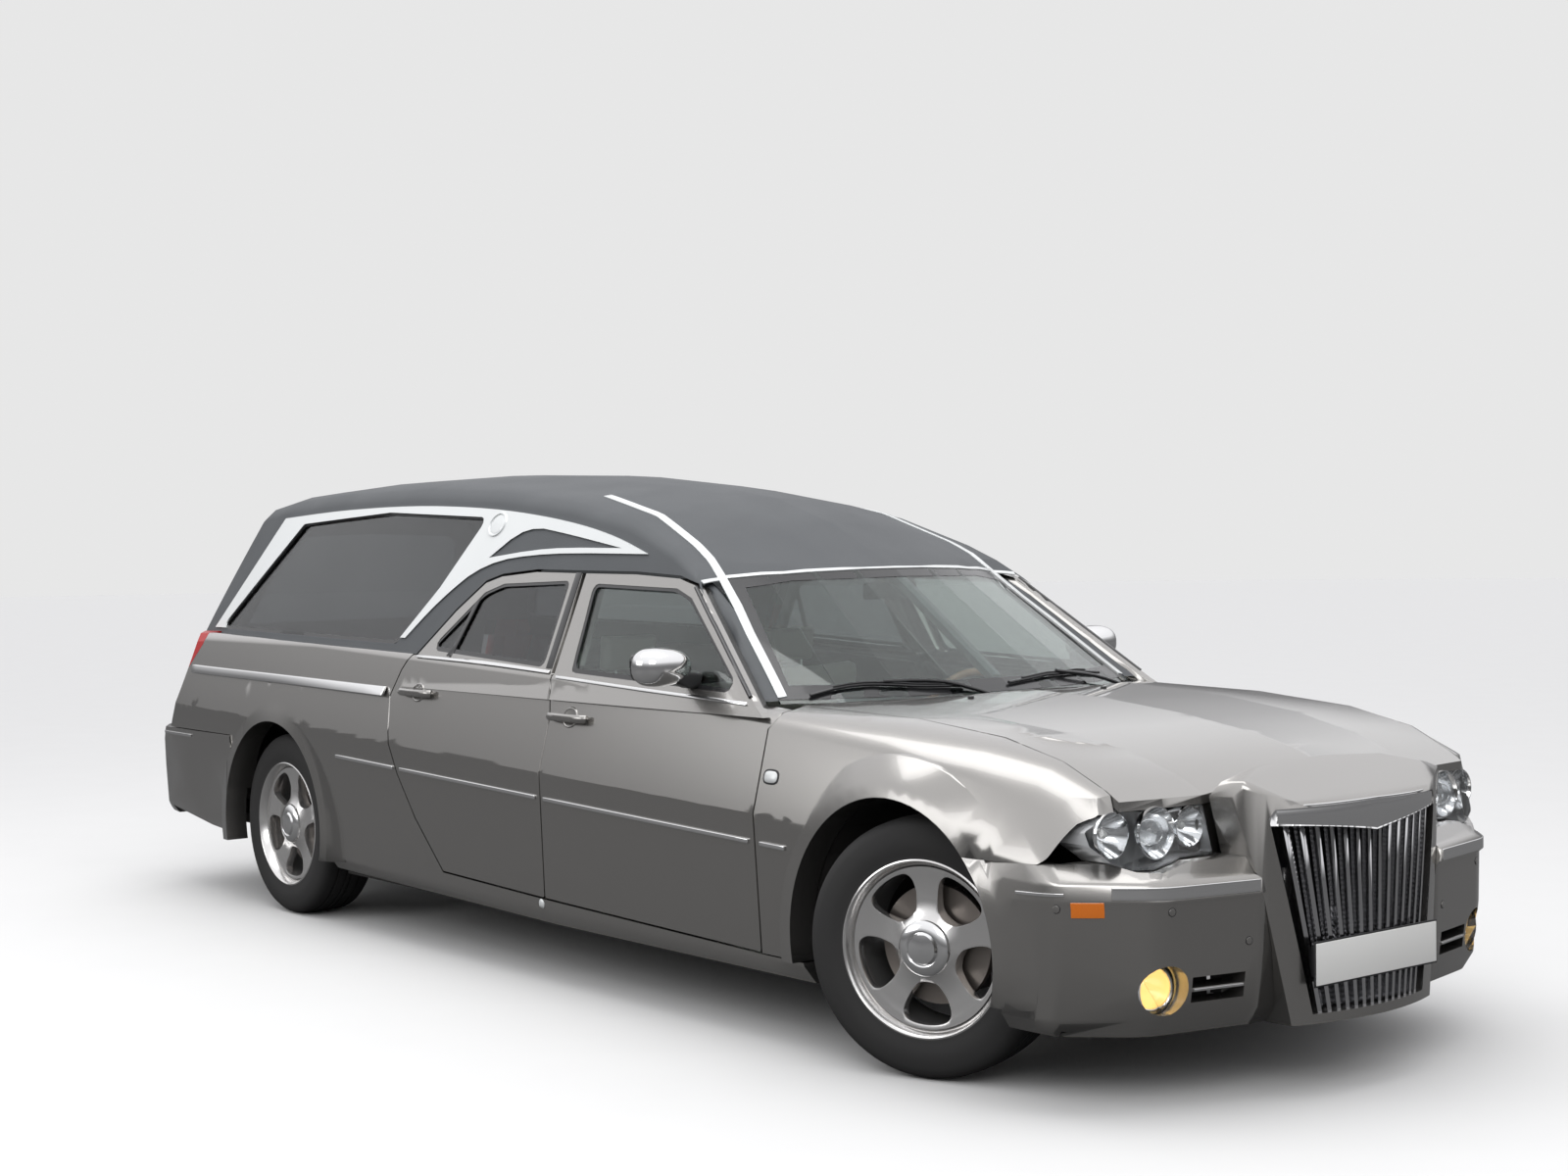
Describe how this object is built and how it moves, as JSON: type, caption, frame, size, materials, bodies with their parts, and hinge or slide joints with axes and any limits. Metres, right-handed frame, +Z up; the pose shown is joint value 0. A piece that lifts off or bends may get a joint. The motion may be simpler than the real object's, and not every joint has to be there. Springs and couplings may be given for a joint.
{
  "type": "hearse",
  "caption": "Long estate hearse with side-hinged doors, lifting tailgate and bonnet, large side windows, coffin deck and steered front wheels.",
  "frame": {"origin": "on the ground, at the middle of the length and of the width", "axes": "+X forward, +Y to the car's left, +Z up"},
  "size_m": [5.9, 2.102, 1.747],
  "materials": {
    "paint": "warm silver metallic gloss",
    "vinyl": "grained dark grey vinyl",
    "glass": "clear with a light green tint",
    "dark_glass": "grey tint",
    "white": "white silver satin",
    "chrome": "bright",
    "lamp": "clear lens",
    "red_lens": "red lens",
    "black": "black",
    "leather": "pale grey",
    "deck": "varnished",
    "iron": "bare",
    "steel": "bare",
    "wheel": "polished",
    "tyre": "black"
  },
  "bodies": {
    "body": {"roof": "vinyl", "windscreen": "glass", "load_windows": "dark_glass", "window_trim": "white", "rear_quarters": "paint", "tail_lamps": "red_lens", "front_fenders": "paint", "cowl": "black", "grille_surround": "paint", "grille": "chrome", "radiator": "black", "front_bumper": "paint", "front_lamps": "lamp", "rear_bumper": "paint", "underbody": "black", "dashboard": "black", "steering_wheel": "leather", "seats": "leather", "load_deck": "deck", "engine": "iron", "front_axle": "steel", "rear_axle": "steel"},
    "bonnet": {"bonnet": "paint"},
    "tailgate": {"tailgate": "paint", "tailgate_glass": "dark_glass"},
    "front_door_left": {"front_door_left": "paint", "front_door_glass_left": "glass", "mirror_left": "chrome"},
    "rear_door_left": {"rear_door_left": "paint", "rear_door_glass_left": "dark_glass"},
    "knuckle_left": {"knuckle_left": "iron"},
    "front_wheel_left": {"front_rim_left": "wheel", "front_tyre_left": "tyre"},
    "rear_wheel_left": {"rear_rim_left": "wheel", "rear_tyre_left": "tyre"},
    "front_door_right": {"front_door_right": "paint", "front_door_glass_right": "glass", "mirror_right": "chrome"},
    "rear_door_right": {"rear_door_right": "paint", "rear_door_glass_right": "dark_glass"},
    "knuckle_right": {"knuckle_right": "iron"},
    "front_wheel_right": {"front_rim_right": "wheel", "front_tyre_right": "tyre"},
    "rear_wheel_right": {"rear_rim_right": "wheel", "rear_tyre_right": "tyre"}
  },
  "joints": [
    {"name": "bonnet_hinge", "type": "hinge", "parent": "body", "child": "bonnet", "pos_m": [1.44, 0, 1.006], "axis": [0, -1, 0], "range_deg": [0, 50]},
    {"name": "tailgate_hinge", "type": "hinge", "parent": "body", "child": "tailgate", "pos_m": [-2.522, 0, 1.607], "axis": [0, 1, 0], "range_deg": [0, 80]},
    {"name": "front_door_left_hinge", "type": "hinge", "parent": "body", "child": "front_door_left", "pos_m": [1.446, 0.947, 0.6], "axis": [0, 0, -1], "range_deg": [0, 70]},
    {"name": "rear_door_left_hinge", "type": "hinge", "parent": "body", "child": "rear_door_left", "pos_m": [0.3005, 0.947, 0.6], "axis": [0, 0, -1], "range_deg": [0, 70]},
    {"name": "steering_left", "type": "hinge", "parent": "body", "child": "knuckle_left", "pos_m": [2.04, 0.715, 0.361], "axis": [0, 0, 1], "range_deg": [-54, 14]},
    {"name": "front_wheel_left_spin", "type": "hinge", "parent": "knuckle_left", "child": "front_wheel_left", "pos_m": [2.04, 0.715, 0.361], "axis": [-0.342, 0.9397, 0], "continuous": true},
    {"name": "rear_wheel_left_spin", "type": "hinge", "parent": "body", "child": "rear_wheel_left", "pos_m": [-1.66, 0.77, 0.361], "axis": [0, 1, 0], "continuous": true},
    {"name": "front_door_right_hinge", "type": "hinge", "parent": "body", "child": "front_door_right", "pos_m": [1.446, -0.947, 0.6], "axis": [0, 0, 1], "range_deg": [0, 70]},
    {"name": "rear_door_right_hinge", "type": "hinge", "parent": "body", "child": "rear_door_right", "pos_m": [0.3005, -0.947, 0.6], "axis": [0, 0, 1], "range_deg": [0, 70]},
    {"name": "steering_right", "type": "hinge", "parent": "body", "child": "knuckle_right", "pos_m": [2.04, -0.715, 0.361], "axis": [0, 0, 1], "range_deg": [-54, 14]},
    {"name": "front_wheel_right_spin", "type": "hinge", "parent": "knuckle_right", "child": "front_wheel_right", "pos_m": [2.04, -0.715, 0.361], "axis": [-0.342, 0.9397, 0], "continuous": true},
    {"name": "rear_wheel_right_spin", "type": "hinge", "parent": "body", "child": "rear_wheel_right", "pos_m": [-1.66, -0.77, 0.361], "axis": [0, 1, 0], "continuous": true}
  ],
  "couplings": [
    {"joint": "steering_right", "follows": "steering_left", "ratio": 1}
  ]
}
